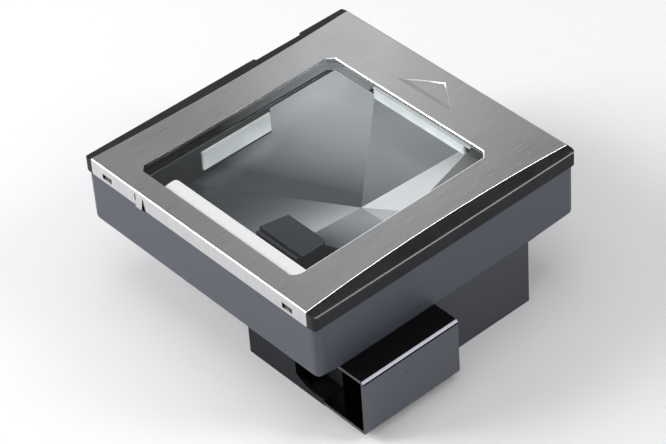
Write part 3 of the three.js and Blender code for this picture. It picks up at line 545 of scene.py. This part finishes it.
def outer_wall(at, normal):
    """The bracket's outer wall."""
    return at.x > 89 and normal.x > 0.9


def top_face(at, normal):
    """The bracket's top."""
    return at.z > -0.5 and normal.z > 0.95


def top_bend(at, normal):
    """Upper part of the bend between the bracket's top and its outer wall."""
    return inside(at, x=(87, math.inf), z=(-4, math.inf)) and 0.35 < normal.z < 0.9


def below_bend(at, normal):
    """Lower part of that bend."""
    return inside(at, x=(87, math.inf), z=(-4, math.inf)) and 0.05 < normal.z <= 0.35


# node: finishes of the faces that a test picks, by their middle in mm and their normal. None picks the
# rounded edges. Where two tests pick a face, the later one counts. Most of these finishes paint light or
# shade.
ZONES = {
    "cover_skin": [
        ("steel_edge_painted_highlight", None),
        ("tab_painted_shade", pressed_tab),
        ("steel_painted_light", arrow_wall),
        ("steel_painted_light", front_lip),
        ("opening_edge_painted_highlight", right_opening_edge),
        ("opening_edge_painted_highlight", rear_opening_edge),
    ],
    "cover_frame": [
        ("rail_bend_painted_highlight", rail_bend),
        ("ledge_painted_light", window_side),
        ("shade_black", behind_lip),
        ("shade_black", catch_pocket),
    ],
    "release_tongue": [("steel_painted_light", front_lip), ("tab_painted_shade", right_side)],
    "window_gasket": [("rubber_painted_light", rear_side)],
    "lower_housing": [("shaded_plastic", front_wall), ("shade_black", inside_bay)],
    "mounting_bracket": [
        ("bracket_wall_painted_reflection", outer_wall),
        ("bracket_bend_painted_highlight", top_bend),
        ("shade_black", below_bend),
        ("shade_black", top_face),
    ],
    "optical_chassis": [("gusset_painted_light", gusset), ("wall_painted_glow", left_wall)],
}

# ---------- pieces ----------

WELD = 0.002 * MM  # corners of the CAD mesh that are closer than this are one corner
ALMOST_FLAT = math.radians(0.6)  # faces that meet at less than this become one face
SHARP = math.radians(30)  # edges sharper than this are rounded
CREASE = math.radians(38)  # edges sharper than this stay sharp in the shading
FLAT_AREA = 120  # in square mm: larger faces are flat, and aren't shaded as part of a curve
FREE_WIDTH = 0.3  # in mm: a rounding this wide or wider runs only along long edges, so it isn't clamped
USUAL_WIDTH = 0.29  # in mm: a clamped rounding
SKIN_TOP = 36  # in mm: height of the steel's upper face


def dress(obj, *finishes):
    """Fills the material slots in order. They aren't cleared, because that would reset each face's slot."""
    slots = obj.data.materials
    for number, finish in enumerate(finishes):
        if number < len(slots):
            slots[number] = MATERIALS[finish]
        else:
            slots.append(MATERIALS[finish])


def finish_of(node):
    """Name of a node's finish: its own, or else its slot's."""
    return node if node in MATERIALS else SLOT_OF[node]


def add_piece(data, name, body, slot, *nodes):
    """Piece with smooth shading between its sharp edges and large flat faces, in its place on a body."""
    data.shade_smooth()
    data.set_sharp_from_angle(angle=CREASE)
    for face in data.polygons:
        face.use_smooth = face.area < FLAT_AREA * MM * MM
    obj = linked(name, data)
    even = obj.modifiers.new("even", "WEIGHTED_NORMAL")
    even.keep_sharp = True
    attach(obj, body)
    if nodes:
        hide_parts(*nodes)
    return obj


def softened(node, name, width, segments):
    """Piece that stands for a CAD node: the same solid with its sharp edges rounded by width, in mm.
    width may be a function of an edge that gives its own width, or 0 to leave it sharp."""
    zones = list(enumerate(ZONES.get(node, []), 1))
    rounded = next((number for number, (finish, test) in zones if test is None), -1)
    mesh = bmesh.new()
    mesh.from_mesh(frame["nodes"][node].data)
    bmesh.ops.remove_doubles(mesh, verts=mesh.verts, dist=WELD)
    bmesh.ops.dissolve_limit(
        mesh, angle_limit=ALMOST_FLAT, verts=mesh.verts, edges=mesh.edges, use_dissolve_boundaries=False
    )
    widths = {}
    for edge in mesh.edges:
        if len(edge.link_faces) == 2 and edge.calc_face_angle(0) >= SHARP:
            size = width(edge) if callable(width) else width
            if size:
                widths.setdefault(size, []).append(edge)
    for size in sorted(widths, reverse=True):
        bmesh.ops.bevel(
            mesh,
            geom=[edge for edge in widths[size] if edge.is_valid],
            offset=size * MM,
            segments=segments,
            profile=0.5,
            affect="EDGES",
            clamp_overlap=size < FREE_WIDTH,
            miter_outer="ARC",
            material=rounded,
        )
    for face in mesh.faces:
        for number, (finish, test) in zones:
            if test and test(face.calc_center_median() / MM, face.normal):
                face.material_index = number
    piece = add_piece(as_data(mesh, name), name, BODY_OF[node], SLOT_OF[node], node)
    dress(piece, finish_of(node), *[finish for number, (finish, test) in zones])


def widened(node, name, by):
    """Mirror that reaches out by this much, in mm, at its corners, so that hardly a gap shows beside it."""
    mesh = bmesh.new()
    mesh.from_mesh(frame["nodes"][node].data)
    bmesh.ops.remove_doubles(mesh, verts=mesh.verts, dist=WELD)
    places = [vert.co.copy() for vert in mesh.verts]
    for vert, at in zip(mesh.verts, places):
        layer = [other for other in places if is_upper(other, places) == is_upper(at, places)]
        middle = sum(layer, Vector()) / len(layer)
        vert.co = at + (at - middle).normalized() * by * MM
    piece = add_piece(as_data(mesh, name), name, BODY_OF[node], SLOT_OF[node], node)
    dress(piece, finish_of(node))


def is_upper(at, places):
    """Whether a corner of a slab has its partner right under it."""
    return any((other - at).xy.length < 0.01 * MM and other.z < at.z - 0.1 * MM for other in places)


def ends_of(edge):
    """Both ends of an edge, in mm."""
    return [vert.co / MM for vert in edge.verts]


def skin_edge(edge):
    """Rounding of the steel skin: widest round the window, and slight on the arrow and under the lips."""
    ends = ends_of(edge)
    if any(inside(at, x=(-19, 19), y=(55, 71)) for at in ends):  # the arrow
        return 0.15 if all(at.z > SKIN_TOP - 0.1 for at in ends) else 0
    if all(at.z > SKIN_TOP - 0.01 for at in ends):  # the opening, and then the outline
        if all(inside(at, x=(-53, 53), y=(-66, 66)) for at in ends):
            lit = all(at.x > 45 for at in ends) or all(at.y > 40 for at in ends)
            return 0.5 if lit else 0.45
        return 0.25
    return 0.12 if all(at.z < 28.5 for at in ends) else 0  # under the lips


def frame_edge(edge):
    """Rounding of the cover frame: wide on the rails only, so that the steps under the window stay crisp."""
    return USUAL_WIDTH if all(abs(at.x) > 66 for at in ends_of(edge)) else 0.1


def tray_edge(edge):
    """Rounding of the tray: generous round its underside, and none on the top that the cover hides."""
    ends = ends_of(edge)
    if any(at.z > 25 for at in ends):
        return 0
    outer = all(at.z < 0.05 and max(abs(at.x), abs(at.y)) > 72 for at in ends)
    return 2.0 if outer else USUAL_WIDTH


SOFT = {
    # node: (piece, width of the rounding in mm, segments)
    "cover_skin": ("steel_skin", skin_edge, 3),
    "cover_frame": ("rail_frame", frame_edge, 3),
    "window_gasket": ("gasket_ring", 0.05, 1),
    "upper_housing": ("tray", tray_edge, 3),
    "lower_housing": ("lower_case", USUAL_WIDTH, 3),
    "mounting_bracket": ("channel_bracket", USUAL_WIDTH, 3),
    "optical_chassis": ("chassis", USUAL_WIDTH, 2),
    "camera_housing": ("camera_block", USUAL_WIDTH, 3),
    "window_glass": ("glass_pane", 0.25, 2),
    "window_label": ("blank_label", 0.05, 1),
    "rear_diffuser": ("rear_panel", 0.3, 3),
    "left_diffuser": ("left_panel", 0.2, 2),
    "release_tongue": ("catch_tongue", 0.12, 2),
}
MIRRORS = [node for node in frame["nodes"] if node.endswith("_mirror")]
MIRROR_GROWTH = 0.26  # in mm

for node, (name, width, segments) in SOFT.items():
    softened(node, name, width, segments)
for node in MIRRORS:
    widened(node, node + "_facet", MIRROR_GROWTH)
for node, obj in frame["nodes"].items():
    dress(obj, finish_of(node))

# ---------- camera, lights and floor ----------

CAMERA = {
    # distances in metres, angles in degrees, lens in mm
    "aim": (0.0223, -0.0184, 0.020),
    "distance": 1.187,
    "azimuth": 50.87,
    "elevation": 40.24,
    "roll": 4.27,
    "lens": 148.5,
}
LIGHTS = {
    # name: (place and size across and along in metres, power in watts)
    "key": ((-1.06, -1.17, 0.90), (0.9, 0.9), 29),
    "rim": ((1.04, 0.77, 0.94), (0.4, 0.9), 7),
    "top": ((0.0, 0.0, 1.7), (1.2, 1.2), 6.4),
}
GLOW = {"where": (-0.39, 0.36, 0.37), "size": 0.16, "power": 0.072}
# Colours near the horizon and overhead, and the heights that they change between, 1 being straight up
SKY = {"low": (0.95, 0.95, 0.96), "high": (0.335, 0.34, 0.35), "from": 0.18, "to": 0.46}
FLOOR_REACH = 6  # in metres, from the middle to each side


def add_camera():
    azimuth, elevation, roll = (math.radians(CAMERA[k]) for k in ("azimuth", "elevation", "roll"))
    forward = Vector(
        (
            -math.sin(azimuth) * math.cos(elevation),
            math.cos(azimuth) * math.cos(elevation),
            -math.sin(elevation),
        )
    )
    level = Vector((math.cos(azimuth), math.sin(azimuth), 0))
    down = forward.cross(level)
    right = level * math.cos(roll) + down * math.sin(roll)
    up = right.cross(forward)
    data = bpy.data.cameras.new("camera")
    data.sensor_width = 36
    data.lens = CAMERA["lens"]
    data.clip_start = 0.01
    camera = linked("camera", data)
    turn = Matrix((right, up, -forward)).transposed().to_4x4()
    stand = Vector(CAMERA["aim"]) - forward * CAMERA["distance"]
    camera.matrix_world = Matrix.Translation(stand) @ turn
    bpy.context.scene.camera = camera


def add_light(name, where, size, power):
    """Area light aimed at the origin."""
    data = bpy.data.lights.new(name, "AREA")
    data.shape = "RECTANGLE"
    data.size, data.size_y = size
    data.energy = power
    light = linked(name, data)
    light.location = where
    light.rotation_mode = "QUATERNION"
    light.rotation_quaternion = (Vector() - Vector(where)).to_track_quat("-Z", "Y")
    return light


def add_glow(steel):
    """Small round light behind the left of the scanner, whose sheen only the brushed steel shows."""
    glow = add_light("glow", GLOW["where"], (GLOW["size"],) * 2, GLOW["power"])
    glow.data.shape = "DISK"
    receivers = bpy.data.collections.new("glow_receivers")
    receivers.objects.link(steel)
    glow.light_linking.receiver_collection = receivers


def add_world():
    """Studio sky: a pale sweep near the horizon under a dimmer ceiling."""
    world = bpy.data.worlds.new("studio")
    bpy.context.scene.world = world
    world.use_nodes = True
    tree = world.node_tree
    toward = make(tree, "ShaderNodeTexCoord").outputs["Generated"]
    height = make(tree, "ShaderNodeSeparateXYZ", {"Vector": toward}).outputs["Z"]
    share = spread(tree, height, 0, 1, SKY["from"], SKY["to"])
    background = tree.nodes["Background"]
    tree.links.new(mixed(tree, share, SKY["low"], SKY["high"]), background.inputs["Color"])


def floor_paint(tree, shader):
    tone = mixed(tree, noise(tree, 6, 2), (0.85, 0.85, 0.85), (0.87, 0.87, 0.87))
    wire(tree, shader, Base_Color=tone, Roughness=0.8)


def add_floor():
    """Floor at the height of the scanner's lowest point."""
    mesh = bmesh.new()
    bmesh.ops.create_grid(mesh, x_segments=8, y_segments=8, size=FLOOR_REACH)
    bmesh.ops.translate(mesh, verts=mesh.verts, vec=(0, 0, cad_box[0].z))
    floor = linked("floor", as_data(mesh, "floor"))
    floor.data.materials.append(material("floor", floor_paint))


add_floor()
add_camera()
for name, (where, size, power) in LIGHTS.items():
    add_light(name, where, size, power)
add_world()
add_glow(bpy.data.objects["steel_skin"])
bpy.context.scene.view_settings.view_transform = "Standard"
